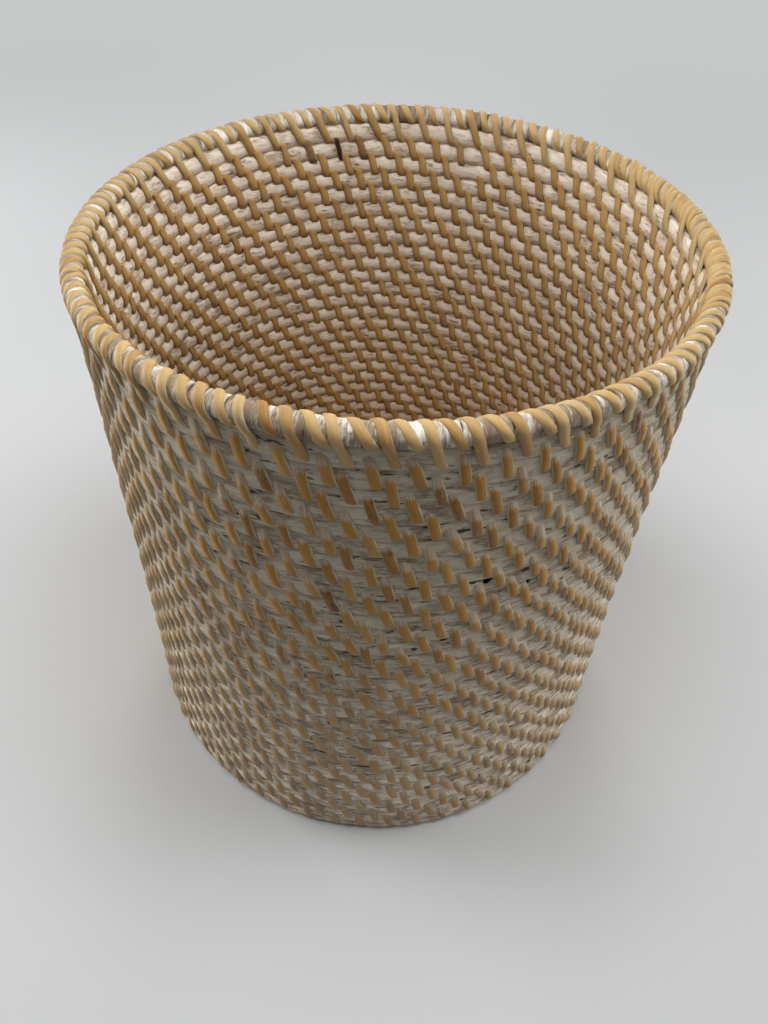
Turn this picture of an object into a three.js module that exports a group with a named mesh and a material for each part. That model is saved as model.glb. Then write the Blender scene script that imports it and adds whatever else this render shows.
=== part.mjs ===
// A round coiled rattan basket, open at the top. Level turns of rattan core are stacked into the wall,
// flat turns of the same core fill the base, and a rim rod bound in rattan peel closes the top edge.
// Millimetres, +Z up. The origin is the centre of the underside.
import * as THREE from "three";

// Driving dimensions
const RIM_OUTER_DIAMETER = 254; // over the peel that binds the rim rod
const FOOT_OUTER_DIAMETER = 250; // over the lowest turn of the wall
const WALL_BOW = 1; // how far the wall draws in at mid height
const WALL_TURNS = 32; // turns of core between the ground and the rim rod
const CORE_DIAMETER = 7.4;
const RIM_ROD_DIAMETER = 7.6;
const RIM_OVERHANG = 1.2; // the rim rod's centre line stands out this far past the top turn's
const PEEL_THICKNESS = 0.5;
const BASE_LIFT = 1; // the base hangs this far above the ground, so that the foot carries the basket
const CLEARANCE = 0.3; // between pieces that lie against each other

// Facets: a turn's section has six sides. The steps of its ring double twice on the way out, in line
// with those further in, so that neighbours in the base never cut each other.
const CENTRE_STEPS = 7;
const TWICE_THE_STEPS_FROM = 12; // radius
const FOUR_TIMES_THE_STEPS_FROM = 40; // radius
const CORE_FLAT_SHARE = 0.54; // flat top and bottom against the width, for the area of a round core
const ROD_SIDES = 8;
const BINDING_OPEN_SIDES = 2; // sides left open below, where the rod sits on the top turn

// What follows from them
const turnPitch = CORE_DIAMETER + CLEARANCE;
const turnHalfWidth = (CORE_DIAMETER * Math.PI) / (4 * (1 + CORE_FLAT_SHARE));
const rodRadius = RIM_ROD_DIAMETER / 2;
const bindingInnerRadius = rodRadius + CLEARANCE;
const bindingOuterRadius = bindingInnerRadius + PEEL_THICKNESS;
const rimRadius = RIM_OUTER_DIAMETER / 2 - bindingOuterRadius;
const topTurnRadius = rimRadius - RIM_OVERHANG;
const footRadius = FOOT_OUTER_DIAMETER / 2 - turnHalfWidth;
const rimHeight = WALL_TURNS * turnPitch + rodRadius;

// The base fills the foot with whole turns, each as wide as the room allows
const baseReach = footRadius - turnHalfWidth - CLEARANCE / 2;
const baseTurns = Math.round(baseReach / turnPitch - 0.5);
const basePitch = baseReach / (baseTurns + 0.5);
const baseTurnWidth = basePitch - CLEARANCE;

// Materials
const core = new THREE.MeshStandardMaterial({ color: 0xb4aa9c, roughness: 0.75, metalness: 0 });
const peel = new THREE.MeshStandardMaterial({ color: 0xc9995a, roughness: 0.45, metalness: 0 });

function ringSteps(radius) {
  if (radius < TWICE_THE_STEPS_FROM) return CENTRE_STEPS;
  return radius < FOUR_TIMES_THE_STEPS_FROM ? 2 * CENTRE_STEPS : 4 * CENTRE_STEPS;
}

// Turns an outline, given as [out from the centre line, up] pairs, round the basket's axis.
function turned(outline, radius) {
  const points = outline.map(([out, up]) => new THREE.Vector2(radius + out, up));
  return new THREE.LatheGeometry(points, ringSteps(radius)).rotateX(Math.PI / 2);
}

function ring(outline, radius) {
  return turned([...outline, outline[0]], radius);
}

// Flat above and below, where turns lie on each other, and ridged on the wall's two faces.
function coreOutline(width, height) {
  const side = width / 2;
  const flat = side * CORE_FLAT_SHARE;
  const top = height / 2;
  return [
    [side, 0],
    [flat, top],
    [-flat, top],
    [-side, 0],
    [-flat, -top],
    [flat, -top],
  ];
}

function arc(radius, fromSide, toSide) {
  const points = [];
  for (let side = fromSide; side <= toSide; side += 1) {
    const angle = (side / ROD_SIDES) * 2 * Math.PI;
    points.push([radius * Math.cos(angle), radius * Math.sin(angle)]);
  }
  return points;
}

function piece(name, geometry, material, height) {
  const mesh = new THREE.Mesh(geometry, material);
  mesh.name = name;
  mesh.position.z = height;
  return mesh;
}

// The wall's centre line: straight from the foot to the rim, less the bow.
function wallRadius(turn) {
  const share = turn / (WALL_TURNS - 1);
  return footRadius + (topTurnRadius - footRadius) * share - WALL_BOW * 4 * share * (1 - share);
}

function wall() {
  const group = new THREE.Group();
  for (let turn = 0; turn < WALL_TURNS; turn += 1) {
    const name = turn === 0 ? "foot_coil" : `wall_coil_${String(turn).padStart(2, "0")}`;
    const outline = coreOutline(2 * turnHalfWidth, CORE_DIAMETER);
    const geometry = ring(outline, wallRadius(turn));
    group.add(piece(name, geometry, core, turn * turnPitch + CORE_DIAMETER / 2));
  }
  return group;
}

function base() {
  const group = new THREE.Group();
  group.position.z = BASE_LIFT + CORE_DIAMETER / 2;
  const outline = coreOutline(baseTurnWidth, CORE_DIAMETER);
  const [widest, upper, , , , lower] = outline;
  const half = [[0, lower[1]], lower, widest, upper, [0, upper[1]]];
  group.add(piece("base_centre", turned(half, 0), core, 0));
  for (let turn = 1; turn <= baseTurns; turn += 1) {
    const geometry = ring(outline, turn * basePitch);
    group.add(piece(`base_coil_${String(turn).padStart(2, "0")}`, geometry, core, 0));
  }
  return group;
}

// The rod sits on the top turn, and its binding is open where the two meet.
function rim() {
  const group = new THREE.Group();
  group.position.z = rimHeight;
  const rod = ring(arc(rodRadius, 0, ROD_SIDES - 1), rimRadius);
  group.add(piece("rim_rod", rod, core, 0));
  const firstSide = (BINDING_OPEN_SIDES - ROD_SIDES / 2) / 2;
  const lastSide = ROD_SIDES / 2 - firstSide;
  const outer = arc(bindingOuterRadius, firstSide, lastSide);
  const inner = arc(bindingInnerRadius, firstSide, lastSide).reverse();
  group.add(piece("rim_binding", ring([...outer, ...inner], rimRadius), peel, 0));
  return group;
}

const basket = new THREE.Group();
basket.add(base(), wall(), rim());

export default basket;
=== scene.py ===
import math

import bmesh
import bpy
from bpy.props import FloatProperty, FloatVectorProperty, IntProperty, PointerProperty
from mathutils import Matrix, Vector


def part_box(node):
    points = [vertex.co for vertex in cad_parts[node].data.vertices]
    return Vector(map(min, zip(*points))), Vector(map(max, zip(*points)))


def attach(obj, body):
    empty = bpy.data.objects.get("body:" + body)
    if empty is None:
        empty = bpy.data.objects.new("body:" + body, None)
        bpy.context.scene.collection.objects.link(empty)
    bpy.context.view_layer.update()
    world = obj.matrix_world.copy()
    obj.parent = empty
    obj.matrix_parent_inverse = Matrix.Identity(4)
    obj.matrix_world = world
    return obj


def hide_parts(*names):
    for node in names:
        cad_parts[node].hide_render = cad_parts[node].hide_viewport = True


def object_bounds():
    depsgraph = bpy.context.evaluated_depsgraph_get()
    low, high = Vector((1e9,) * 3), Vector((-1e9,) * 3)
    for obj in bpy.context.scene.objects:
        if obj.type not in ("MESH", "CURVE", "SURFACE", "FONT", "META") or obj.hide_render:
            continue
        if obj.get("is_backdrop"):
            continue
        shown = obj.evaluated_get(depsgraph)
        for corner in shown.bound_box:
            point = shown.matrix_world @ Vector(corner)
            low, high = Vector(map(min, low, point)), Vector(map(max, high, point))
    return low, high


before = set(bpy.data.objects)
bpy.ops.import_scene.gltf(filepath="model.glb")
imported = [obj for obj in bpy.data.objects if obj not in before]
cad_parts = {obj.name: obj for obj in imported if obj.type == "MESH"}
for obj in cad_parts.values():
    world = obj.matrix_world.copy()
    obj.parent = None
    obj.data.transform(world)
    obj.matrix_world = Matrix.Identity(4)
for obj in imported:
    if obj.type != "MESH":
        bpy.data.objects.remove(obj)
cad_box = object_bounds()

bl_info = {
    "name": "Coiled rattan basket",
    "version": (1, 0, 0),
    "blender": (4, 5, 0),
    "location": "3D View > Sidebar > Basket",
    "description": "Dresses a coiled basket: cores, lashings, bound rim and base",
    "category": "Add Mesh",
}

MM = 0.001
WALL_NODES = ["foot_coil"] + sorted(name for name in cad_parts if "wall_coil_" in name)
BASE_NODES = sorted(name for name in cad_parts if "base_coil_" in name)


# Where the frame puts a ring


class Ring:
    """The centre line of a turned node, and half its width and height."""

    def __init__(self, node):
        points = [vertex.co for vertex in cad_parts[node].data.vertices]
        reaches = [point.xy.length for point in points]
        heights = [point.z for point in points]
        self.radius = (max(reaches) + min(reaches)) / 2
        self.half_width = (max(reaches) - min(reaches)) / 2
        self.height = (max(heights) + min(heights)) / 2
        self.half_height = (max(heights) - min(heights)) / 2


WALL_RINGS = [Ring(node) for node in WALL_NODES]
BASE_RINGS = [Ring(node) for node in BASE_NODES]
RIM_RING = Ring("rim_rod")
TURN_PITCH = WALL_RINGS[1].height - WALL_RINGS[0].height
BASE_PITCH = BASE_RINGS[1].radius - BASE_RINGS[0].radius
BASKET_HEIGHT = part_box("rim_binding")[1].z

# Flaws, by turn or row from the foot: where there is a hole above a turn, in degrees, and which
# lashing of a row is dark or left out
HOLES = {23: -72.4, 22: -64.6}
DARK_LASHINGS = {30: 17.0}
MISSING_LASHINGS = {29: 11}
NOWHERE = -9  # a place in a row that no lashing has

# Set the wood of the base and the rim, and their lashings, apart from those of the wall
BASE_CORE_SEED = 40
RIM_CORE_SEED = 90
RIM_SEED = 60
BASE_SEED = 70


# Sizes and colours


def length(name, description, millimetres):
    return FloatProperty(
        name=name,
        description=description,
        default=millimetres * MM,
        min=0,
        subtype="DISTANCE",
        unit="LENGTH",
        precision=5,
    )


def angle(name, description, degrees):
    return FloatProperty(
        name=name, description=description, default=math.radians(degrees), subtype="ANGLE"
    )


def share(name, description, default):
    return FloatProperty(
        name=name, description=description, default=default, min=0, max=1, subtype="FACTOR"
    )


def colour(name, description, *default):
    return FloatVectorProperty(
        name=name, description=description, default=default, min=0, max=1, size=3, subtype="COLOR"
    )


def power(name, watts):
    return FloatProperty(name=name, description="Power", default=watts, min=0, unit="POWER")


class BasketCoreSizes(bpy.types.PropertyGroup):
    half_depth: length("Half depth", "From a turn's centre line to the wall's face", 3.45)
    crowding: share("Crowding", "Share by which turns press into each other", 0.2)
    outer_squareness: FloatProperty(
        name="Outer squareness", description="2 is round, more is squarer", default=4.5, min=2
    )
    inner_squareness: FloatProperty(
        name="Inner squareness", description="2 is round, more is squarer", default=2.2, min=2
    )
    pinch: length("Pinch", "How far the lashings press into the inner face", 0.55)
    knots: share("Knots", "Share by which a turn is thicker and thinner along its run", 0.22)
    hole_depth: length("Hole depth", "How far a turn draws back from a hole between turns", 4.2)
    step_length: length("Step length", "Length of a facet along a turn", 2.2)
    sides: IntProperty(name="Sides", description="Facets round a turn's section", default=12, min=6)


class BasketLashingSizes(bpy.types.PropertyGroup):
    count: IntProperty(name="Lashings in a row", description="Round the wall", default=59, min=3)
    width: length("Width", "Width of the peel", 4.15)
    inside_width: FloatProperty(name="Width inside", description="Times the width", default=0.93)
    thickness: length("Thickness", "How far the peel stands proud", 1.0)
    outside_lead: length("Outside lead", "Run along the turn while it goes down outside", 4.1)
    slide: length("Slide", "How far a lashing may lie off its place", 0.7)
    lean: angle("Lean", "How far a lashing may lean from its slant", 5)
    width_spread: share("Width spread", "Share by which widths differ", 0.1)


class BasketRimSizes(bpy.types.PropertyGroup):
    width: length("Width", "Width of the wrapping peel", 3.6)
    thickness: length("Thickness", "How far the wrapping stands proud", 0.8)
    outside_lead: length("Outside lead", "Run along the rim on the outside", 6.2)
    inside_lead: length("Inside lead", "Run along the rim on the inside", 5.5)
    slide: length("Slide", "How far a wrap may lie off its place", 0.5)
    lean: angle("Lean", "How far a wrap may lean from its slant", 3)
    width_spread: share("Width spread", "Share by which widths differ", 0.12)
    crowd: IntProperty(name="Crowded wraps", description="Laid between the others", default=19)
    crowd_start: angle("Crowd start", "Where the crowded wraps begin", -20)


class BasketHandMade(bpy.types.PropertyGroup):
    seed: IntProperty(name="Seed", description="Seed of all that is uneven", default=7)
    rim_lobes: share("Rim lobes", "Share by which the rim is three-cornered", 0.0222)
    rim_lobe_angle: angle("Rim lobe angle", "Where the rim's lobes lie", 31.4)
    foot_oval: share("Foot oval", "Share by which the foot is oval", 0.015)
    foot_oval_angle: angle("Foot oval angle", "Where the foot's long side lies", 194.3)
    foot_press: share("Foot press", "Share by which the foot's underside is pressed flat", 0.39)
    rim_wave: length("Rim wave", "How far the rim rises and dips", 3.04)
    rim_wave_angle: angle("Rim wave angle", "Where the rim is high", 130.9)
    dents: length("Dents", "How far the wall waves in and out", 0.9)
    dent_size: length("Dent size", "Breadth of a wave in the wall", 42)


class BasketFinishes(bpy.types.PropertyGroup):
    wash: colour("Whitewash", "Chalky wash over the cores", 0.565, 0.507, 0.395)
    # Painted light: a lighter wash towards the foot, standing in for light from the floor
    foot_wash: colour("Whitewash at the foot", "Thicker wash low on the wall", 0.88, 0.765, 0.615)
    wash_shade: colour("Thin whitewash", "Where the wash is thin", 0.41, 0.35, 0.26)
    inner_wash: colour("Inner whitewash", "Wash inside, less rubbed", 0.71, 0.62, 0.515)
    # Painted shade: a darker, warmer wash low inside, standing in for shade deep in the basket
    inner_foot: colour("Inner wash at the foot", "Warmer wash low inside", 0.67, 0.505, 0.355)
    inner_shade: colour("Thin inner whitewash", "Where it is thin", 0.52, 0.42, 0.32)
    rim_wash: colour("Rim whitewash", "Thicker wash on the rim's rod", 0.82, 0.78, 0.71)
    wood: colour("Core wood", "Wood where the wash is rubbed off", 0.23, 0.155, 0.095)
    wood_dark: colour("Dark core", "Skin left on the core", 0.035, 0.022, 0.016)
    honey_pale: colour("Pale honey peel", "Lightest lashing", 0.48, 0.28, 0.075)
    honey: colour("Honey peel", "Usual lashing", 0.38, 0.19, 0.031)
    honey_dark: colour("Orange peel", "Darker lashing", 0.275, 0.125, 0.022)
    brown: colour("Brown peel", "Darkest lashing and its streaks", 0.11, 0.045, 0.014)
    straw: colour("Straw peel", "Wraps of the rim", 0.46, 0.312, 0.128)
    straw_dark: colour("Shaded straw", "Darker wraps of the rim", 0.36, 0.205, 0.065)


class BasketStageSettings(bpy.types.PropertyGroup):
    floor: colour("Floor", "Pale floor", 0.64, 0.648, 0.656)
    floor_reach: length("Floor reach", "From the middle to the floor's edge", 4000)
    camera_distance: length("Camera distance", "In front of the basket's axis", 297.08)
    camera_height: length("Camera height", "Above the floor", 396.89)
    camera_turn: angle("Camera turn", "To the right of straight ahead", 0.2523)
    camera_dip: angle("Camera dip", "Below level", 45.362)
    camera_roll: angle("Camera roll", "Lean of the picture", 2.8748)
    lens: FloatProperty(name="Lens", description="Focal length", default=28.36, unit="CAMERA")
    room: colour("Room", "Pale room that the camera sees behind the stage", 0.565, 0.575, 0.58)
    daylight: FloatProperty(name="Daylight", description="Strength from all round", default=0.065)
    lamp_near: power("Lamp over the opening", 1.7)
    lamp_high: power("High lamp at the right", 6.4)
    lamp_left: power("Lamp at the left", 14.5)
    lamp_right: power("Lamp at the right", 8.2)
    lamp_back: power("Lamp behind", 11.0)
    lamp_front: power("Lamp in front", 1.3)


# Node trees


class Value:
    """A number that runs through a node tree. Arithmetic on it adds Math nodes."""

    def __init__(self, kit, socket):
        self.kit = kit
        self.socket = socket

    def __add__(self, other):
        return self.kit.math("ADD", self, other)

    def __sub__(self, other):
        return self.kit.math("SUBTRACT", self, other)

    def __mul__(self, other):
        return self.kit.math("MULTIPLY", self, other)

    def __truediv__(self, other):
        return self.kit.math("DIVIDE", self, other)

    def __pow__(self, other):
        return self.kit.math("POWER", self, other)

    def __radd__(self, other):
        return self.kit.math("ADD", other, self)

    def __rsub__(self, other):
        return self.kit.math("SUBTRACT", other, self)

    def __rmul__(self, other):
        return self.kit.math("MULTIPLY", other, self)


class Kit:
    """Adds nodes to a tree and links them as they are made."""

    def __init__(self, tree):
        self.tree = tree

    def put(self, socket, value):
        if isinstance(value, Value):
            value = value.socket
        if isinstance(value, bpy.types.NodeSocket):
            self.tree.links.new(value, socket)
        else:
            socket.default_value = value

    def node(self, kind, sockets=None, **settings):
        node = self.tree.nodes.new(kind)
        for setting, value in settings.items():
            setattr(node, setting, value)
        for key, value in (sockets or {}).items():
            self.put(node.inputs[key], value)
        return node

    def value(self, socket):
        return Value(self, socket)

    def add(self, kind, sockets=None, **settings):
        """The first output of a new node."""
        return self.value(self.node(kind, sockets, **settings).outputs[0])

    def math(self, operation, *values, clamp=False):
        sockets = dict(enumerate(values))
        return self.add("ShaderNodeMath", sockets, operation=operation, use_clamp=clamp)

    def cos(self, turn):
        return self.math("COSINE", turn)

    def split(self, vector):
        node = self.node("ShaderNodeSeparateXYZ", {0: vector})
        return [self.value(output) for output in node.outputs]

    def join(self, x, y, z):
        return self.add("ShaderNodeCombineXYZ", {0: x, 1: y, 2: z})

    def noise(self, vector, scale, w=None, detail=2.0, roughness=0.5):
        sockets = {"Vector": vector, "Scale": scale, "Detail": detail, "Roughness": roughness}
        if w is not None:
            sockets["W"] = w
        dimensions = "3D" if w is None else "4D"
        return self.add("ShaderNodeTexNoise", sockets, noise_dimensions=dimensions)

    def store(self, geometry, name, value, kind="FLOAT", domain="POINT"):
        """Keeps a value with the geometry, under the name by which a material reads it."""
        sockets = {"Geometry": geometry, "Name": name, "Value": value}
        return self.add("GeometryNodeStoreNamedAttribute", sockets, data_type=kind, domain=domain)

    def ramp(self, value, low, high):
        """0 below low and 1 above high, eased between them. Low above high turns it round."""
        sockets = {"Value": value, "From Min": low, "From Max": high}
        return self.add("ShaderNodeMapRange", sockets, interpolation_type="SMOOTHSTEP")

    def blend(self, factor, under, over):
        """Lays one colour over another. Each is a plain colour or runs through the tree."""
        node = self.node("ShaderNodeMix", data_type="RGBA")
        inputs = {socket.identifier: socket for socket in node.inputs}
        self.put(inputs["Factor_Float"], factor)
        for socket, tone in ((inputs["A_Color"], under), (inputs["B_Color"], over)):
            runs = isinstance(tone, (Value, bpy.types.NodeSocket))
            self.put(socket, tone if runs else opaque(tone))
        return self.value(next(s for s in node.outputs if s.identifier == "Result_Color"))


def opaque(tone):
    return (*tone[:3], 1)


def darkened(tone, share_left):
    return tuple(part * share_left for part in tone)


def new_tree(name, sizes, material=True):
    """A Geometry Nodes tree with an input for each size. Returns its kit and its inputs by name."""
    tree = bpy.data.node_groups.new(name, "GeometryNodeTree")
    tree.interface.new_socket("Geometry", in_out="INPUT", socket_type="NodeSocketGeometry")
    for label, default in sizes.items():
        kind = "NodeSocketInt" if isinstance(default, int) else "NodeSocketFloat"
        socket = tree.interface.new_socket(label, in_out="INPUT", socket_type=kind)
        socket.default_value = default
    if material:
        tree.interface.new_socket("Material", in_out="INPUT", socket_type="NodeSocketMaterial")
    tree.interface.new_socket("Geometry", in_out="OUTPUT", socket_type="NodeSocketGeometry")
    kit = Kit(tree)
    entry = kit.node("NodeGroupInput")
    inputs = {output.name: kit.value(output) for output in entry.outputs if output.name}
    return kit, inputs


def end_tree(kit, geometry, material=None):
    if material:
        sockets = {"Geometry": geometry, "Material": material}
        geometry = kit.add("GeometryNodeSetMaterial", sockets)
    kit.node("NodeGroupOutput", {"Geometry": geometry})
    return kit.tree


def uneven_tree():
    """What the maker's hands did to the whole basket: lobes, ovalness, a wavy rim and soft dents.

    Its inputs are the amounts made by hand, and start with their values."""
    amounts = bpy.context.scene.basket_hand_made
    sizes = {"Basket height": BASKET_HEIGHT, "Foot height": WALL_RINGS[0].height}
    for key in amounts.__annotations__:
        sizes[key.replace("_", " ").capitalize()] = getattr(amounts, key)
    kit, inputs = new_tree("Uneven by hand", sizes, material=False)
    place = kit.add("GeometryNodeInputPosition")
    x, y, z = kit.split(place)
    turn = kit.math("ARCTAN2", y, x)
    rise = z / inputs["Basket height"]
    lobes = rise * inputs["Rim lobes"] * kit.cos(turn * 3 - inputs["Rim lobe angle"])
    oval = (1 - rise) * inputs["Foot oval"] * kit.cos(turn * 2 - inputs["Foot oval angle"])
    wave = rise * rise * inputs["Rim wave"] * kit.cos(turn * 2 - inputs["Rim wave angle"])
    scale = kit.math("DIVIDE", 1.0, inputs["Dent size"])
    inwards = kit.noise(place, scale, w=inputs["Seed"]) - 0.5
    upwards = kit.noise(place, scale, w=inputs["Seed"] + 9.5) - 0.5
    reach = kit.math("SQRT", x * x + y * y)
    off_middle = kit.ramp(reach, 10 * MM, 90 * MM)
    off_ground = kit.ramp(z, 4 * MM, 30 * MM)
    dent = inputs["Dents"] * inwards * 2 * off_middle / kit.math("MAXIMUM", reach, 1 * MM)
    stretch = 1 + lobes + oval + dent
    below = kit.math("MAXIMUM", inputs["Foot height"] - z, 0.0)
    lift = wave + inputs["Dents"] * upwards * off_ground + below * inputs["Foot press"]
    position = kit.join(x * stretch, y * stretch, z + lift)
    sockets = {"Geometry": inputs["Geometry"], "Position": position}
    return end_tree(kit, kit.add("GeometryNodeSetPosition", sockets))


def turn_tree(uneven_group):
    """A closed turn of core, squarer on the wall's outside than on its inside."""
    kit, inputs = new_tree(
        "Turn of core",
        {
            "Ring radius": 120 * MM,
            "Height": 0.0,
            "Half depth": 3.5 * MM,
            "Half height": 3.8 * MM,
            "Outer squareness": 3.0,
            "Inner squareness": 2.3,
            "Steps": 240,
            "Sides": 12,
            "Knots": 0.2,
            "Pinch": 0.3 * MM,
            "Pinches": 59,
            "Pinch place": 0.0,
            "Hole place": 0.0,
            "Hole depth": 0.0,
            "Seed": 0,
        },
    )
    radius = inputs["Ring radius"]

    def circle(steps, size):
        return kit.add("GeometryNodeCurvePrimitiveCircle", {"Resolution": steps, "Radius": size})

    path = circle(inputs["Steps"], radius)
    profile = circle(inputs["Sides"], MM)
    tube = kit.add("GeometryNodeCurveToMesh", {"Curve": path, "Profile Curve": profile})
    place = kit.add("GeometryNodeInputPosition")
    x, y, z = kit.split(place)
    reach = kit.math("SQRT", x * x + y * y)
    across = (reach - radius) / MM
    up = z / MM
    outside = kit.math("GREATER_THAN", across, 0.0)
    squareness = inputs["Inner squareness"] + outside * (
        inputs["Outer squareness"] - inputs["Inner squareness"]
    )
    power = kit.math("DIVIDE", 2.0, squareness)
    knotty = 1 + inputs["Knots"] * (kit.noise(place, 130.0, w=inputs["Seed"]) - 0.5)

    def squared(value, half):
        size = kit.math("ABSOLUTE", value) ** power
        return kit.math("SIGN", value) * size * half

    pinched = kit.cos((kit.math("ARCTAN2", y, x) - inputs["Pinch place"]) * inputs["Pinches"])
    inner_face = inputs["Pinch"] * pinched * (1 - outside)
    depth = squared(across, inputs["Half depth"] - inner_face) * knotty

    # A hole between turns: this one draws back from the turn above, and its floor is painted
    # near-black there, a painted shadow in the hole
    half_width = 2.8 * MM
    off_hole = kit.math("ABSOLUTE", kit.math("ARCTAN2", y, x) - inputs["Hole place"]) * radius
    hole = kit.ramp(off_hole, half_width, 0.6 * MM) * inputs["Hole depth"]
    shade = kit.ramp(off_hole, half_width, 2.2 * MM) * kit.ramp(up, 0.5, 0.75)
    has_hole = kit.math("MINIMUM", inputs["Hole depth"] / (2 * MM), 1.0)
    hollow = kit.store(tube, "hollow", shade * has_hole)
    rise = squared(up, inputs["Half height"]) - kit.math("MAXIMUM", up, 0.0) * hole
    grow = (radius + depth) / reach
    position = kit.join(x * grow, y * grow, rise + inputs["Height"])
    shaped = kit.add("GeometryNodeSetPosition", {"Geometry": hollow, "Position": position})
    section_place = kit.join(reach - radius, inputs["Seed"] * 0.05, z - inputs["Height"])
    section = kit.store(shaped, "section", section_place, "FLOAT_VECTOR")
    smooth = kit.add("GeometryNodeSetShadeSmooth", {"Geometry": section})
    bent = kit.add("GeometryNodeGroup", {"Geometry": smooth}, node_tree=uneven_group)
    real = kit.add("GeometryNodeRealizeInstances", {"Geometry": bent})
    return end_tree(kit, real, inputs["Material"])


def lashing_tree(uneven_group):
    """Repeats a strip of peel round a ring, no two quite alike."""
    kit, inputs = new_tree(
        "Row of lashings",
        {
            "Count": 59,
            "Laid": 59,
            "Ring radius": 120 * MM,
            "Height": 0.0,
            "First place": 0.0,
            "Slide": 0.5 * MM,
            "Lean": 0.05,
            "Width spread": 0.1,
            "Dark one": float(NOWHERE),
            "Missing one": NOWHERE,
            "Seed": 0,
        },
    )
    radius = inputs["Ring radius"]
    index = kit.add("GeometryNodeInputIndex")

    def chance(low, high, number):
        sockets = {2: low, 3: high, "ID": index, "Seed": inputs["Seed"] * 10 + number}
        node = kit.node("FunctionNodeRandomValue", sockets, data_type="FLOAT")
        return kit.value(node.outputs[1])

    slip = chance(-1.0, 1.0, 1) * inputs["Slide"] / radius
    turn = (index + inputs["First place"]) / inputs["Count"] * math.tau + slip
    rise = inputs["Height"] + chance(-0.4, 0.4, 2) * inputs["Slide"]
    position = kit.join(kit.cos(turn) * radius, kit.math("SINE", turn) * radius, rise)
    places = kit.add("GeometryNodePoints", {"Count": inputs["Laid"], "Position": position})
    lean = chance(-1.0, 1.0, 3) * inputs["Lean"]
    turned = kit.add("FunctionNodeEulerToRotation", {0: kit.join(lean, 0.0, turn)})
    off_dark = kit.math("ABSOLUTE", index - inputs["Dark one"])
    narrower = kit.math("MAXIMUM", 1 - off_dark, 0.0) * 0.35
    width = 1 + chance(-1.0, 1.0, 4) * inputs["Width spread"] - narrower
    copies = kit.add(
        "GeometryNodeInstanceOnPoints",
        {
            "Points": places,
            "Selection": 1 - kit.math("COMPARE", index, inputs["Missing one"], 0.5),
            "Instance": inputs["Geometry"],
            "Rotation": turned,
            "Scale": kit.join(1.0, width, 1.0),
        },
    )
    dark = 1.3 - off_dark * off_dark * 0.22  # its neighbours are darkened too
    tint = kit.math("MAXIMUM", chance(0.0, 1.0, 5), dark)
    tinted = kit.store(copies, "tint", tint, domain="INSTANCE")
    worn = kit.store(tinted, "wear", chance(0.0, 1.0, 6), domain="INSTANCE")
    real = kit.add("GeometryNodeRealizeInstances", {"Geometry": worn})
    bent = kit.add("GeometryNodeGroup", {"Geometry": real}, node_tree=uneven_group)
    return end_tree(kit, bent, inputs["Material"])


def tree_called(name):
    """One of the trees that make pieces. They are built when one is first asked for."""
    if name not in bpy.data.node_groups:
        uneven_group = uneven_tree()
        turn_tree(uneven_group)
        lashing_tree(uneven_group)
    return bpy.data.node_groups[name]


def grown(name, mesh, tree, sizes):
    """The object that a tree makes from a mesh, as a plain mesh without the modifier."""
    obj = bpy.data.objects.new(name, mesh)
    bpy.context.scene.collection.objects.link(obj)
    modifier = obj.modifiers.new(tree.name, "NODES")
    modifier.node_group = tree
    for item in tree.interface.items_tree:
        if item.in_out == "INPUT" and item.name in sizes:
            modifier[item.identifier] = sizes[item.name]
    graph = bpy.context.evaluated_depsgraph_get()
    plain = bpy.data.meshes.new_from_object(obj.evaluated_get(graph))
    obj.modifiers.remove(modifier)
    obj.data = plain
    plain.name = name
    bpy.data.meshes.remove(mesh)
    if not plain.polygons:
        raise RuntimeError(f"{name} came out empty")
    return obj


# Materials


def emptied(owner):
    owner.use_nodes = True
    owner.node_tree.nodes.clear()
    return Kit(owner.node_tree)


def attribute(kit, name, output="Fac"):
    node = kit.node("ShaderNodeAttribute", attribute_type="GEOMETRY", attribute_name=name)
    return kit.value(node.outputs[output])


def low_on_wall(kit, height):
    """1 at the foot, and 0 from where the painted light on the outside and the painted shade on the
    inside end.
    """
    foot_light_and_shade_end = 200 * MM
    foot_light_and_shade_full = 20 * MM
    return kit.ramp(height, foot_light_and_shade_end, foot_light_and_shade_full)


def end_material(kit, tone, roughness, gloss, height, bump_depth, bump_strength):
    """Ends a material's tree with its surface. Height is where it stands proud."""
    bump = {"Height": height, "Distance": bump_depth, "Strength": bump_strength}
    surface = {
        "Base Color": tone,
        "Roughness": roughness,
        "Specular IOR Level": gloss,
        "Normal": kit.add("ShaderNodeBump", bump),
    }
    shader = kit.add("ShaderNodeBsdfPrincipled", surface)
    kit.node("ShaderNodeOutputMaterial", {"Surface": shader})


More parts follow.
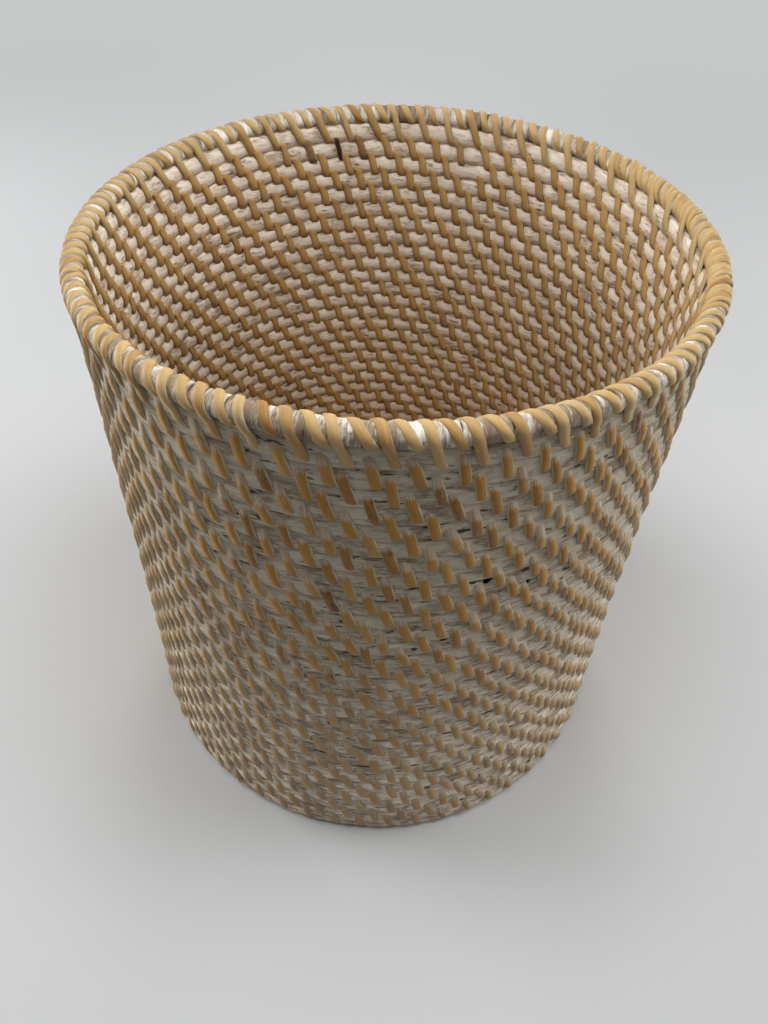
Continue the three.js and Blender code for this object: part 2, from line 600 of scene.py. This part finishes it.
def core_material(name, cover, hatched):
    """Whitewashed core: streaks along the turn, and wood where the wash is thin or rubbed off.

    On the rim's rod the brush ran across, so there the streaks are a hatch."""
    finish = bpy.context.scene.basket_finishes
    material = bpy.data.materials.new(name)
    kit = emptied(material)
    across, number, up = kit.split(attribute(kit, "section", "Vector"))
    x, y, z = kit.split(kit.node("ShaderNodeTexCoord").outputs["Object"])

    def grain(scale, squeeze, seed, detail=3.0):
        """Noise drawn out along the turn by squeeze, or slantwise across it where it is hatched."""
        if hatched:
            rim_scale = 8.2
            reach = kit.math("SQRT", x * x + y * y) * rim_scale
            place = kit.join((across - up) * 0.12, number + seed, x / reach)
            return kit.noise(place, scale, w=y / reach, detail=detail, roughness=0.6)
        place = kit.join(across, up + number * 3.7 + seed, x * squeeze)
        return kit.noise(place, scale, w=y * squeeze, detail=detail, roughness=0.6)

    fine = grain(scale=3200.0 if hatched else 2100.0, squeeze=0.16, seed=0.0)
    coarse = grain(scale=700.0, squeeze=0.2, seed=0.31)
    patch = grain(scale=430.0, squeeze=0.3, seed=0.77, detail=2.0)
    broad = grain(scale=110.0, squeeze=0.6, seed=0.53, detail=2.0)
    outside = kit.ramp(across, -1.5 * MM, 1.5 * MM)
    bare = cover - outside * 0.04
    worn = fine * 0.3 + coarse * 0.35 + broad * 0.35
    # Painted shade: the upper part of each turn's inner face takes thinner, darker wash, standing
    # in for the shade of the turn above
    groove = kit.ramp(up, 0.2 * MM, 2.8 * MM) * (1 - outside) * 0.5
    thin = kit.ramp(worn + groove * 0.06, bare - 0.11, bare + 0.03)
    rubbed = kit.ramp(worn + groove * 0.02, bare - 0.02, bare + 0.05)
    skin = kit.ramp(patch * 0.7 + coarse * 0.3, 0.575 + outside * 0.02, 0.64)
    skin = skin * (0.6 + outside * 0.3)
    if hatched:
        washed = kit.blend(thin, finish.rim_wash, finish.wash_shade)
        blotch = kit.ramp(broad * 0.6 + patch * 0.4, 0.46, 0.57)
        washed = kit.blend(blotch * 0.65, washed, finish.wood)
    else:
        low = low_on_wall(kit, z)
        # Painted light: outside, the wash lightens towards the foot, standing in for light from the
        # floor
        wash = kit.blend(low, finish.wash, finish.foot_wash)
        # Painted shade: inside, the wash darkens and warms towards the foot, standing in for shade
        # deep in the basket
        inner = kit.blend(low, finish.inner_wash, finish.inner_foot)
        wash = kit.blend(outside, inner, wash)
        shade = kit.blend(outside, finish.inner_shade, finish.wash_shade)
        washed = kit.blend(thin, wash, shade)
    painted = kit.blend(rubbed * 0.75, washed, finish.wood)
    painted = kit.blend(skin, painted, finish.wood_dark)
    # Painted shadow: the floor of a hole between turns is painted near-black and loses its gloss
    hollow = attribute(kit, "hollow")
    painted = kit.blend(hollow, painted, darkened(finish.wood_dark, 0.12))
    end_material(
        kit,
        painted,
        roughness=0.85 - rubbed * 0.15,
        gloss=0.15 - hollow * 0.15,
        height=fine * 0.6 + coarse - rubbed * 0.5 - skin * 0.5,
        bump_depth=0.4 * MM,
        bump_strength=0.8,
    )
    return material


def peel_material(name, tints, wash_reach, wash_share, wash_edge):
    """Rattan peel: fine lines along it, its own tint on each strip, wash on its edges and ends."""
    finish = bpy.context.scene.basket_finishes
    material = bpy.data.materials.new(name)
    kit = emptied(material)
    coordinates = kit.node("ShaderNodeTexCoord")
    across, along, _ = kit.split(coordinates.outputs["UV"])
    low = low_on_wall(kit, kit.split(coordinates.outputs["Object"])[2])
    tint = attribute(kit, "tint")
    wear = attribute(kit, "wear")
    fibres = kit.join(across, along * 0.35, tint * 37.0)
    lines = kit.noise(fibres, 17.0, detail=3.0, roughness=0.65)
    mottle = kit.noise(kit.join(across, along * 4.0, wear * 23.0), 2.6)
    chooser = kit.node("ShaderNodeValToRGB", {"Fac": tint * 0.85 + mottle * 0.3 - 0.08})
    elements = chooser.color_ramp.elements
    while len(elements) < len(tints):
        elements.new(0.5)
    for element, (position, shade) in zip(elements, tints):
        element.position = position
        element.color = opaque(shade)
    streak = kit.ramp(lines, 0.52, 0.70)
    darker = kit.ramp(tint, 0.72, 1.0) * 0.5 + 0.28

    # The map's first half is a lashing's outside, from its top down, or the whole of a wrap
    outside = kit.math("LESS_THAN", along, 0.5)
    side = kit.math("FRACT", along * 2)
    blackened = kit.ramp(tint, 1.02, 1.2)
    inside = kit.math("MAXIMUM", 1 - outside - blackened, 0.0) * (1 - low * 0.6)
    # Painted highlight: the inner run's upper part is lightened towards pale honey, less so low on
    # the wall, where the inside is painted darker
    painted_top_highlight = kit.ramp(side, 0.1, 0.4) * inside * 0.45
    lined = kit.blend(painted_top_highlight, chooser.outputs[0], finish.honey_pale)
    # Painted shade: the inner run's lower end is darkened towards brown, mixed with the real brown
    # streaks
    foot = kit.ramp(side, 0.3, 0.05) * (1 - outside) * 0.35
    lined = kit.blend(kit.math("MAXIMUM", streak * darker, foot), lined, finish.brown)

    # Wash is left along the edges, ragged at the top and the bottom, and smeared here and there
    edge = kit.math("ABSOLUTE", across - 0.5)
    sides = kit.ramp(edge + lines * 0.14 - 0.07, wash_edge, wash_edge + 0.04)
    corner = edge * edge
    comb = kit.noise(kit.join(across, along * 0.12, tint * 31.0), 26.0)
    reach = wash_reach * (0.2 + outside * 0.8)
    frayed = comb * 0.3 - wear * wear * (wash_reach * 0.9 + 0.04) - corner * 0.15
    top = kit.ramp(side + frayed, reach + 0.17, reach + 0.06)
    bottom = kit.ramp(side - comb * 0.08 + wear * 0.08 + corner * 0.34, 0.97, 0.99)
    smear = kit.ramp(lines * 0.6 + mottle * 0.4 + wear * 0.22, 0.72, 0.84) * outside
    ends = kit.math("MAXIMUM", top, bottom) * (0.15 + outside * 0.85)
    faded = kit.math("MAXIMUM", sides * (0.3 + outside * 0.7), ends)
    faded = kit.math("MAXIMUM", faded, smear * 0.8)
    # A real wash film over the inner runs, and on the outside painted light that makes the peel
    # paler towards the foot
    wash_film_and_painted_foot_light = inside * 0.16 + outside * low * 0.33
    bare = streak * 0.3 + kit.ramp(comb, 0.44, 0.6) * 0.4 * top
    wash = kit.math("MAXIMUM", faded * (wash_share - bare), wash_film_and_painted_foot_light, clamp=True)
    bright = finish.wash if wash_reach else finish.rim_wash
    chalk = kit.blend(kit.ramp(comb, 0.3, 0.55), bright, finish.wash_shade)
    end_material(
        kit,
        kit.blend(wash, lined, chalk),
        roughness=0.5 + wash * 0.3,
        gloss=0.22,
        height=lines + wash * 0.4,
        bump_depth=0.12 * MM,
        bump_strength=0.5,
    )
    return material


def material_called(name):
    """A finish by name, made when it is first asked for."""
    made = bpy.data.materials.get(name)
    if made:
        return made
    finish = bpy.context.scene.basket_finishes
    if name == "whitewashed core":
        return core_material(name, cover=0.57, hatched=False)
    if name == "rubbed rim core":
        return core_material(name, cover=0.54, hatched=True)
    if name == "honey peel":
        tints = (
            (0.0, finish.honey_pale),
            (0.3, finish.honey),
            (0.66, finish.honey),
            (0.88, finish.honey_dark),
            (0.97, finish.brown),
            (1.0, darkened(finish.brown, 0.3)),
        )
        return peel_material(name, tints, wash_reach=0.25, wash_share=0.92, wash_edge=0.36)
    tints = (
        (0.0, finish.straw),
        (0.58, finish.straw),
        (0.84, finish.straw_dark),
        (1.0, finish.honey_dark),
    )
    return peel_material(name, tints, wash_reach=0.0, wash_share=0.8, wash_edge=0.435)


# Strips of peel


def strip_mesh(stops, width, thickness, place):
    """A closed, crowned strip of peel through its stops, in the (out, along, up) frame of a row.

    A stop is a point, the angle by which the strip faces up from out, and how far along the UV map
    it lies. Past half of the map the strip is inside, and has its width there. place moves a
    finished point from the row's frame to where it belongs."""
    sink = 0.3 * MM
    shoulder = 0.41
    shoulder_height = thickness * 0.75
    section = [
        (-0.5, -sink),
        (-shoulder, shoulder_height),
        (0, thickness),
        (shoulder, shoulder_height),
        (0.5, -sink),
    ]
    mesh = bmesh.new()
    uv_layer = mesh.loops.layers.uv.new("UVMap")
    rows = []
    inside_width = bpy.context.scene.basket_lashing.inside_width
    for index, (point, facing, run) in enumerate(stops):
        before = stops[max(index - 1, 0)][0]
        after = stops[min(index + 1, len(stops) - 1)][0]
        outward = Vector((math.cos(facing), 0, math.sin(facing)))
        side = (outward.cross(after - before).normalized() + Vector((0, 1, 0))).normalized()
        breadth = width * (inside_width if run > 0.5 else 1)
        points = [point + side * (across * breadth) + outward * lift for across, lift in section]
        rows.append([mesh.verts.new(place(corner)) for corner in points])
    for index in range(len(stops) - 1):
        for step in range(len(section)):
            following = (step + 1) % len(section)
            corners = ((index, step), (index, following), (index + 1, following), (index + 1, step))
            face = mesh.faces.new([rows[row][column] for row, column in corners])
            face.smooth = True
            for loop, (row, column) in zip(face.loops, corners):
                loop[uv_layer].uv = (section[column][0] + 0.5, stops[row][2])
    for row, ends in ((0, rows[0]), (-1, rows[-1][::-1])):
        face = mesh.faces.new(ends)
        for loop in face.loops:
            loop[uv_layer].uv = (0.5, stops[row][2])
    return finished_mesh(mesh, "strip")


def finished_mesh(mesh, name):
    bmesh.ops.recalc_face_normals(mesh, faces=mesh.faces)
    made = bpy.data.meshes.new(name)
    mesh.to_mesh(made)
    mesh.free()
    return made


def on_wall(radius):
    """Bends the row's frame round the basket's axis, about the row's own centre line."""

    def place(point):
        turn = point.y / radius
        reach = radius + point.x
        return Vector((reach * math.cos(turn) - radius, reach * math.sin(turn), point.z))

    return place


def on_base(radius):
    """The same with the row lying flat: up the wall becomes outwards, and outwards becomes down."""
    bend = on_wall(radius)
    nearest_the_middle = 0.8 * MM

    def place(point):
        out = max(point.z, nearest_the_middle - radius)
        return bend(Vector((out, point.y, -point.x)))

    return place


def squared_loop(turn, half_depth, half_height, squareness):
    """A point on a squarish loop, as out, up and the angle that the loop faces there."""
    cosine = math.cos(turn)
    sine = math.sin(turn)
    power = 2 / squareness
    out = math.copysign(abs(cosine) ** power, cosine)
    up = math.copysign(abs(sine) ** power, sine)
    steepness = squareness - 1
    faces_out = math.copysign(abs(out) ** steepness, out) / half_depth
    faces_up = math.copysign(abs(up) ** steepness, up) / half_height
    return out * half_depth, up * half_height, math.atan2(faces_up, faces_out)


def lashing_path(lead, pitch, half_depth, turn_height):
    """Down the outside of two turns, under them, and up the inside of the lower turn.

    There it crosses the groove, and its end slips behind the upper turn's face. Along is counted in
    half pitches from where it comes under the turn."""
    outside = (90, 60, 30, 0, -32, -60, -90)
    inside = ((-116, -0.2), (-141, -0.08), (-166, 0.03), (-191, 0.14), (-214, 0.25))
    groove = ((0.84, 0.31, 0.5, 0.9), (0.93, 0.4, 2, 0.95), (0.7, 0.49, 3.6, 1))
    stops = []
    for degrees in outside:
        turn = math.radians(degrees)
        out, up, facing = squared_loop(turn, half_depth, turn_height, squareness=3.2)
        fallen = (turn_height - up) / (2 * turn_height)
        bedded = min(max(up / turn_height, 0), 0.6) * 0.8 * MM
        stops.append((Vector((out - bedded, lead * (fallen - 0.5), up)), facing, 0.5 * fallen))
    slack = 1.36
    half_height = turn_height / 2 * slack
    for degrees, along in inside:
        turn = math.radians(degrees)
        out, up, facing = squared_loop(turn, half_depth, half_height, squareness=2.6)
        climbed = (half_height + up) / (2 * half_height)
        point = Vector((out, lead / 2 + along * pitch / 2, up - turn_height / 2))
        stops.append((point, facing, 0.5 + 0.5 * climbed))
    for depth, along, up, run in groove:
        point = Vector((-half_depth * depth, lead / 2 + along * pitch / 2, up * MM))
        stops.append((point, math.pi * (1 - 0.1 * run), run / 2 + 0.5))
    return stops


# Placing what is finished


def settle(piece, slot, *nodes):
    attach(piece, "root")
    if nodes:
        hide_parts(*nodes)


def turn_piece(name, node, ring, halves, material, seed, squareness=None, details=None):
    """A turn of core. Its halves are the half depth and half height of its section."""
    sizes = bpy.context.scene.basket_core
    outer, inner = squareness or (sizes.outer_squareness, sizes.inner_squareness)
    values = {
        "Ring radius": ring.radius,
        "Height": ring.height,
        "Half depth": halves[0],
        "Half height": halves[1],
        "Outer squareness": outer,
        "Inner squareness": inner,
        "Steps": max(24, round(math.tau * ring.radius / sizes.step_length)),
        "Sides": sizes.sides,
        "Knots": sizes.knots,
        "Pinch": 0.0 if squareness else sizes.pinch,
        "Pinches": bpy.context.scene.basket_lashing.count,
        "Seed": seed,
        "Material": material_called(material),
        **(details or {}),
    }
    piece = grown(name, bpy.data.meshes.new(name), tree_called("Turn of core"), values)
    settle(piece, "core", node)


def row_piece(name, mesh, radius, height, count, material, seed, details, *nodes):
    """A strip of peel repeated round a ring. Its seed is added to the basket's."""
    values = {
        "Count": count,
        "Laid": count,
        "Ring radius": radius,
        "Height": height,
        "Seed": bpy.context.scene.basket_hand_made.seed + seed,
        "Material": material_called(material),
        **details,
    }
    settle(grown(name, mesh, tree_called("Row of lashings"), values), "peel", *nodes)


class BASKET_OT_wall_turns(bpy.types.Operator):
    """Lays the wall's turns of core"""

    bl_idname = "basket.wall_turns"
    bl_label = "Wall turns"

    def execute(self, context):
        sizes = context.scene.basket_core
        lashings = context.scene.basket_lashing
        shift = lashings.outside_lead / 2 + 0.8 * MM
        halves = (sizes.half_depth, TURN_PITCH / 2 * (1 + sizes.crowding))
        for number, (node, ring) in enumerate(zip(WALL_NODES, WALL_RINGS)):
            details = {"Pinch place": math.pi * (number % 2) / lashings.count + shift / ring.radius}
            if number in HOLES:
                finer = 3
                details["Hole place"] = math.radians(HOLES[number])
                details["Hole depth"] = sizes.hole_depth
                details["Steps"] = round(math.tau * ring.radius / sizes.step_length) * finer
            name = f"wall_turn_{number:02d}"
            turn_piece(name, node, ring, halves, "whitewashed core", number, details=details)
        return {"FINISHED"}


class BASKET_OT_wall_lashings(bpy.types.Operator):
    """Lashes each turn of the wall to the turn below it"""

    bl_idname = "basket.wall_lashings"
    bl_label = "Wall lashings"

    def execute(self, context):
        core = context.scene.basket_core
        sizes = context.scene.basket_lashing
        for number, (below, above) in enumerate(zip(WALL_RINGS, WALL_RINGS[1:])):
            radius = (below.radius + above.radius) / 2
            height = (below.height + above.height) / 2
            pitch = math.tau * radius / sizes.count
            stops = lashing_path(sizes.outside_lead, pitch, core.half_depth, TURN_PITCH)
            mesh = strip_mesh(stops, sizes.width, sizes.thickness, on_wall(radius))
            details = {
                "First place": 0.5 * (number % 2),
                "Slide": sizes.slide,
                "Lean": sizes.lean,
                "Width spread": sizes.width_spread,
                "Dark one": DARK_LASHINGS.get(number, float(NOWHERE)),
                "Missing one": MISSING_LASHINGS.get(number, NOWHERE),
            }
            name = f"wall_lashing_{number:02d}"
            row_piece(name, mesh, radius, height, sizes.count, "honey peel", number, details)
        return {"FINISHED"}


def wrap_path(long, rod, drop, overhang, turn_half, sizes):
    """Over the rim rod from inside to outside. A long wrap takes in the top turn as well.

    The top turn lies below the rod by drop, and nearer the middle by overhang."""
    inside = []
    outside = []
    over = range(250, -100, -25)
    inside_stretch = 1
    if long:
        over = range(175, -25, -25)
        inside_stretch = 1.45
        foot = -drop - TURN_PITCH / 2
        corner = turn_half * 0.72
        corner_height = foot + 0.7 * MM
        inner_face = -overhang - turn_half
        outer_face = -overhang + turn_half
        face_foot = -drop - 1.0 * MM
        inside = [
            (-overhang, foot),
            (-overhang - corner, corner_height),
            (inner_face, face_foot),
            (inner_face, -drop + 2.6 * MM),
        ]
        outside = [
            (rod * 0.93, -2.6 * MM),
            (outer_face + 0.25 * MM, -drop + 2.4 * MM),
            (outer_face, face_foot),
            (-overhang + corner, corner_height),
            (-overhang, foot),
        ]
    top = [(rod * math.cos(math.radians(a)), rod * math.sin(math.radians(a))) for a in over]
    line = inside + top + outside
    highest = max(range(len(line)), key=lambda i: line[i][1])
    lengths = [0.0]
    for (x0, z0), (x1, z1) in zip(line, line[1:]):
        lengths.append(lengths[-1] + math.hypot(x1 - x0, z1 - z0))
    middle = lengths[highest]
    stops = []
    for index, ((out, up), run) in enumerate(zip(line, lengths)):
        if run < middle:
            shift = -sizes.inside_lead * (1 - run / middle) * inside_stretch
        else:
            shift = sizes.outside_lead * ((run - middle) / (lengths[-1] - middle))
        x0, z0 = line[max(index - 1, 0)]
        x1, z1 = line[min(index + 1, len(line) - 1)]
        facing = math.atan2(x1 - x0, z0 - z1)
        stops.append((Vector((out, shift, up)), facing, 0.5 * run / lengths[-1]))
    return stops


class BASKET_OT_rim(bpy.types.Operator):
    """Lays the rim rod and binds it"""

    bl_idname = "basket.rim"
    bl_label = "Bound rim"

    def execute(self, context):
        core = context.scene.basket_core
        sizes = context.scene.basket_rim
        count = context.scene.basket_lashing.count
        ring = RIM_RING
        rod = ring.half_width
        turn_piece(
            "rim_core",
            "rim_rod",
            ring,
            (rod, rod),
            "rubbed rim core",
            RIM_CORE_SEED,
            squareness=(2.1, 2.1),
        )
        top_turn = WALL_RINGS[-1]
        crowd_place = round(sizes.crowd_start / math.tau * 2 * count) + 0.7

        # Label, places round the rim, how many are laid, the first one's place, times the width and
        # the slide, the one left out, and the nodes replaced
        groups = (
            ("long", count, count, 0.1, 1, 1, NOWHERE, ["rim_binding"]),
            ("short", count, count, 0.6, 1, 1, NOWHERE, []),
            ("crowded", 2 * count, sizes.crowd, crowd_place, 0.75, 2.5, 9, []),
        )
        for number, (label, places, laid, first, wide, loose, missing, nodes) in enumerate(groups):
            stops = wrap_path(
                label == "long",
                rod,
                ring.height - top_turn.height,
                ring.radius - top_turn.radius,
                core.half_depth,
                sizes,
            )
            mesh = strip_mesh(stops, sizes.width * wide, sizes.thickness, on_wall(ring.radius))
            details = {
                "Laid": laid,
                "First place": first,
                "Slide": sizes.slide * loose,
                "Lean": sizes.lean,
                "Width spread": sizes.width_spread,
                "Missing one": missing,
            }
            name = f"rim_wraps_{label}"
            seed = RIM_SEED + number
            height = ring.height
            row_piece(name, mesh, ring.radius, height, places, "straw peel", seed, details, *nodes)
        return {"FINISHED"}


def button_mesh(reach, half_height):
    """The curled start of the coil: a small crowned button."""
    mesh = bmesh.new()
    steps = 10
    outline = []
    for step in range(steps + 1):
        turn = math.pi / 2 - math.pi * step / steps
        out, up, _ = squared_loop(turn, reach, half_height, squareness=2.6)
        outline.append(mesh.verts.new((max(out, 0), 0, up)))
    edges = [mesh.edges.new(pair) for pair in zip(outline, outline[1:])]
    bmesh.ops.spin(
        mesh,
        geom=outline + edges,
        cent=(0, 0, 0),
        axis=(0, 0, 1),
        angle=math.tau,
        steps=20,
        use_merge=True,
    )
    bmesh.ops.remove_doubles(mesh, verts=mesh.verts, dist=0.01 * MM)
    for face in mesh.faces:
        face.smooth = True
    return finished_mesh(mesh, "coil start")


class BASKET_OT_base(bpy.types.Operator):
    """Coils the base and lashes it, and ties it to the foot"""

    bl_idname = "basket.base"
    bl_label = "Base"

    def execute(self, context):
        sizes = context.scene.basket_lashing
        low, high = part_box("base_centre")
        half = BASE_PITCH / 2
        button = bpy.data.objects.new("base_coil_start", button_mesh(half, (high.z - low.z) / 2))
        button.data.transform(Matrix.Translation((0, 0, (high.z + low.z) / 2)))
        context.scene.collection.objects.link(button)
        section = button.data.attributes.new("section", "FLOAT_VECTOR", "POINT")
        for vertex, value in zip(button.data.vertices, section.data):
            value.vector = vertex.co
        button.data.materials.append(material_called("whitewashed core"))
        settle(button, "core", "base_centre")
        thinner = 0.95
        half_height = BASE_RINGS[0].half_height * thinner
        halves = (half, half_height)
        for number, (node, ring) in enumerate(zip(BASE_NODES, BASE_RINGS)):
            name = f"base_turn_{number + 1:02d}"
            seed = BASE_CORE_SEED + number
            turn_piece(name, node, ring, halves, "whitewashed core", seed, squareness=(2.4, 2.4))
        height = BASE_RINGS[0].height
        spacing = 13.2 * MM
        lead_share = sizes.outside_lead / (13.3 * MM)
        for number in range(len(BASE_RINGS) + 1):
            radius = BASE_PITCH * (number + 0.5)
            count = max(5, round(math.tau * radius / spacing))
            pitch = math.tau * radius / count
            stops = lashing_path(lead_share * pitch, pitch, half_height, BASE_PITCH)
            mesh = strip_mesh(stops, sizes.width, sizes.thickness, on_base(radius))
            details = {
                "First place": 0.5 * (number % 2),
                "Slide": sizes.slide,
                "Lean": 0.0,
                "Width spread": sizes.width_spread,
            }
            name = f"base_lashing_{number:02d}"
            seed = BASE_SEED + number
            row_piece(name, mesh, radius, height, count, "honey peel", seed, details)
        return {"FINISHED"}


# Stage


def seen_directly(kit):
    """1 for what the camera sees, also through glass or in a gloss, and 0 for what lights."""
    rays = kit.node("ShaderNodeLightPath")
    seen = kit.value(rays.outputs["Is Camera Ray"])
    for kind in ("Is Glossy Ray", "Is Transmission Ray"):
        seen = kit.math("MAXIMUM", seen, rays.outputs[kind])
    return seen


def floor_material():
    """A pale floor that takes the shadow, and to the camera runs into the room further off."""
    material = bpy.data.materials.new("pale floor")
    kit = emptied(material)
    stage = bpy.context.scene.basket_stage
    place = kit.node("ShaderNodeTexCoord").outputs["Object"]
    x, y, _ = kit.split(place)
    tone = kit.blend(kit.noise(place, 3.0), stage.floor, darkened(stage.floor, 0.97))
    shader = kit.add("ShaderNodeBsdfPrincipled", {"Base Color": tone, "Roughness": 0.7})
    room = kit.add("ShaderNodeEmission", {"Color": opaque(stage.room), "Strength": 1.0})
    fade_start = 0.6
    fade_end = 1.3
    reach = kit.math("SQRT", x * x + y * y)
    far = kit.ramp(reach, fade_start, fade_end) * seen_directly(kit)
    mixed = kit.add("ShaderNodeMixShader", {0: far, 1: shader, 2: room})
    kit.node("ShaderNodeOutputMaterial", {"Surface": mixed})
    return material


def soft_lamp(name, size, watts, place, target):
    lamp = bpy.data.lights.new(name, "AREA")
    lamp.shape = "DISK"
    lamp.size = size
    lamp.energy = watts
    obj = bpy.data.objects.new(name, lamp)
    obj.location = place
    obj.rotation_euler = (target - place).to_track_quat("-Z", "Y").to_euler()
    obj.visible_camera = False
    bpy.context.scene.collection.objects.link(obj)


def daylight(stage):
    """Faint light from all round, behind which the camera sees a pale room."""
    world = bpy.data.worlds.new("daylight")
    kit = emptied(world)
    sky = (0.96, 0.98, 1, 1)
    light = kit.add("ShaderNodeBackground", {"Color": sky, "Strength": stage.daylight})
    room = kit.add("ShaderNodeBackground", {"Color": opaque(stage.room), "Strength": 1.0})
    mixed = kit.add("ShaderNodeMixShader", {0: seen_directly(kit), 1: light, 2: room})
    kit.node("ShaderNodeOutputWorld", {"Surface": mixed})
    return world


class BASKET_OT_stage(bpy.types.Operator):
    """Adds the floor, the light and the camera"""

    bl_idname = "basket.stage"
    bl_label = "Stage"

    def execute(self, context):
        scene = context.scene
        stage = scene.basket_stage
        mesh = bpy.data.meshes.new("floor")
        reach = stage.floor_reach
        corners = [(-reach, -reach, 0), (reach, -reach, 0), (reach, reach, 0), (-reach, reach, 0)]
        mesh.from_pydata(corners, [], [(0, 1, 2, 3)])
        floor = bpy.data.objects.new("floor", mesh)
        floor.location.z = -0.2 * MM
        mesh.materials.append(floor_material())
        scene.collection.objects.link(floor)
        floor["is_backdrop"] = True

        scene.world = daylight(stage)
        lamps = (
            ("lamp_near", 0.25, (0, -0.1, 0.6)),
            ("lamp_high", 1.0, (1.6, 0, 1.0)),
            ("lamp_left", 0.8, (-1.2, 0.3, 0.4)),
            ("lamp_right", 0.8, (1.2, 0.3, 0.4)),
            ("lamp_back", 1.0, (0, 1.8, 0.9)),
            ("lamp_front", 0.8, (0, -1.3, 1.3)),
        )
        middle = Vector((0, 0, BASKET_HEIGHT / 2))
        for name, size, place in lamps:
            soft_lamp(name, size, getattr(stage, name), Vector(place), middle)

        camera_data = bpy.data.cameras.new("camera")
        camera_data.lens = stage.lens
        camera_data.clip_start = 0.01
        camera = bpy.data.objects.new("camera", camera_data)
        turn = stage.camera_turn
        dip = stage.camera_dip
        ahead = Vector(
            (math.sin(turn) * math.cos(dip), math.cos(turn) * math.cos(dip), -math.sin(dip))
        )
        right = Vector((math.cos(turn), -math.sin(turn), 0))
        up = right.cross(ahead)
        lean = Matrix.Rotation(stage.camera_roll, 3, -ahead)
        axes = Matrix((lean @ right, lean @ up, -ahead)).transposed()
        camera.matrix_world = (
            Matrix.Translation((0, -stage.camera_distance, stage.camera_height)) @ axes.to_4x4()
        )
        scene.collection.objects.link(camera)
        scene.camera = camera
        scene.view_settings.view_transform = "Standard"
        return {"FINISHED"}


# Panel


class BASKET_PT_panel(bpy.types.Panel):
    """Sizes, colours and pieces of the basket"""

    bl_label = "Coiled basket"
    bl_space_type = "VIEW_3D"
    bl_region_type = "UI"
    bl_category = "Basket"

    def draw(self, context):
        for attribute_name, heading, _ in GROUPS:
            settings = getattr(context.scene, attribute_name)
            box = self.layout.box()
            box.label(text=heading)
            for key in settings.__annotations__:
                box.prop(settings, key)
        for operator in OPERATORS:
            self.layout.operator(operator.bl_idname)


GROUPS = (
    ("basket_core", "Core", BasketCoreSizes),
    ("basket_lashing", "Lashings", BasketLashingSizes),
    ("basket_rim", "Rim", BasketRimSizes),
    ("basket_hand_made", "Made by hand", BasketHandMade),
    ("basket_finishes", "Finishes", BasketFinishes),
    ("basket_stage", "Stage", BasketStageSettings),
)
OPERATORS = (
    BASKET_OT_wall_turns,
    BASKET_OT_wall_lashings,
    BASKET_OT_rim,
    BASKET_OT_base,
    BASKET_OT_stage,
)


def register():
    for attribute_name, _, group in GROUPS:
        bpy.utils.register_class(group)
        setattr(bpy.types.Scene, attribute_name, PointerProperty(type=group))
    for operator in OPERATORS:
        bpy.utils.register_class(operator)
    bpy.utils.register_class(BASKET_PT_panel)


def unregister():
    bpy.utils.unregister_class(BASKET_PT_panel)
    for operator in reversed(OPERATORS):
        bpy.utils.unregister_class(operator)
    for attribute_name, _, group in reversed(GROUPS):
        delattr(bpy.types.Scene, attribute_name)
        bpy.utils.unregister_class(group)


def main():
    register()
    bpy.ops.basket.wall_turns()
    bpy.ops.basket.wall_lashings()
    bpy.ops.basket.rim()
    bpy.ops.basket.base()
    bpy.ops.basket.stage()
    boxes = {"cad": cad_box, "visual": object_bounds()}
    plain = {key: [list(corner) for corner in box] for key, box in boxes.items()}


if __name__ == "__main__":
    main()
